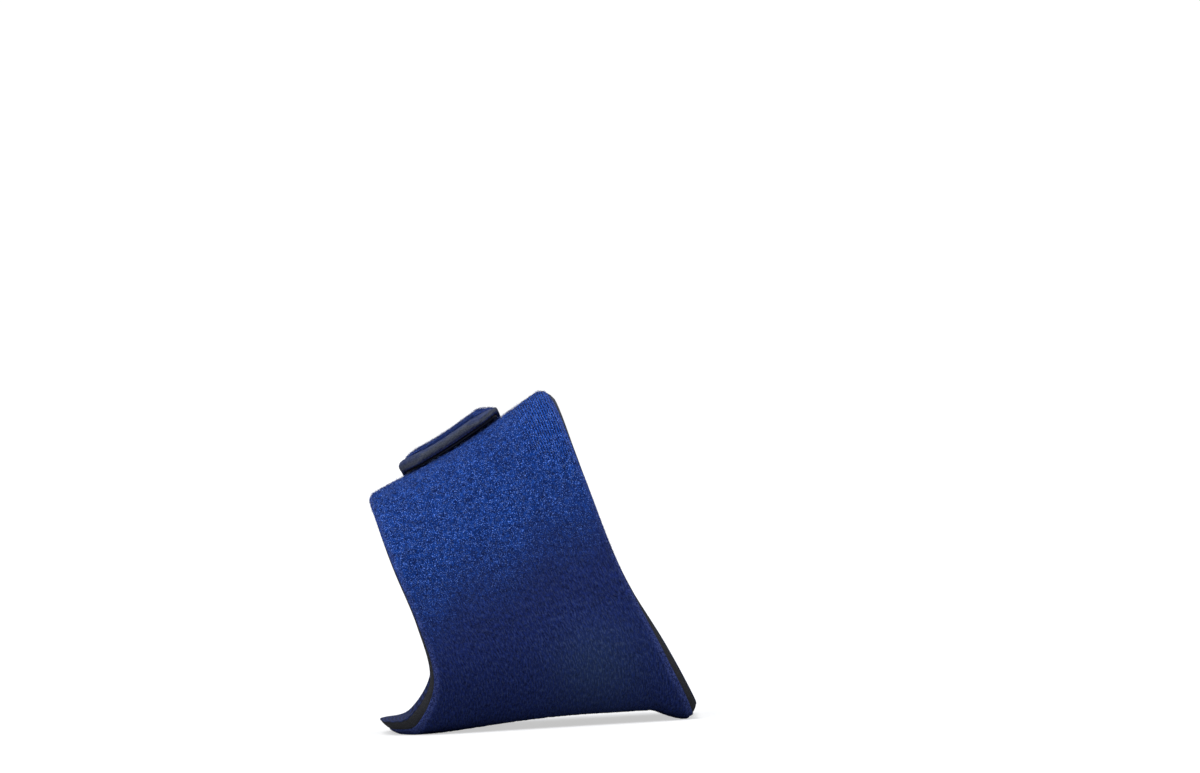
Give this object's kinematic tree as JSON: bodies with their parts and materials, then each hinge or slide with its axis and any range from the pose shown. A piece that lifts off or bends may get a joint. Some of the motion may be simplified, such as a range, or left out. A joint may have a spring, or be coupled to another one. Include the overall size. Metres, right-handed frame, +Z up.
{
  "type": "arch support sleeve",
  "caption": "Wrap-around arch support sleeve of laminated foam rubber with a blue loop face, closed over the instep by a hook tab.",
  "frame": {"origin": "middle of the sleeve's bounding box, on the surface that it stands on", "axes": "+X towards the heel, +Y towards the outer side of the foot, +Z up"},
  "size_m": [0.0826, 0.0862, 0.0864],
  "materials": {
    "lining_jersey": "fine matt stretch jersey, dark navy",
    "foam_rubber": "matt closed-cell foam, charcoal, cut edge",
    "loop_pile": "short brushed loop pile, royal to navy blue, with a fine sparkle",
    "hook_tape": "woven hook tape, black"
  },
  "bodies": {
    "root": {"inner_lining": "lining_jersey", "foam_core": "foam_rubber", "loop_face": "loop_pile", "hook_patch": "hook_tape"}
  },
  "joints": []
}
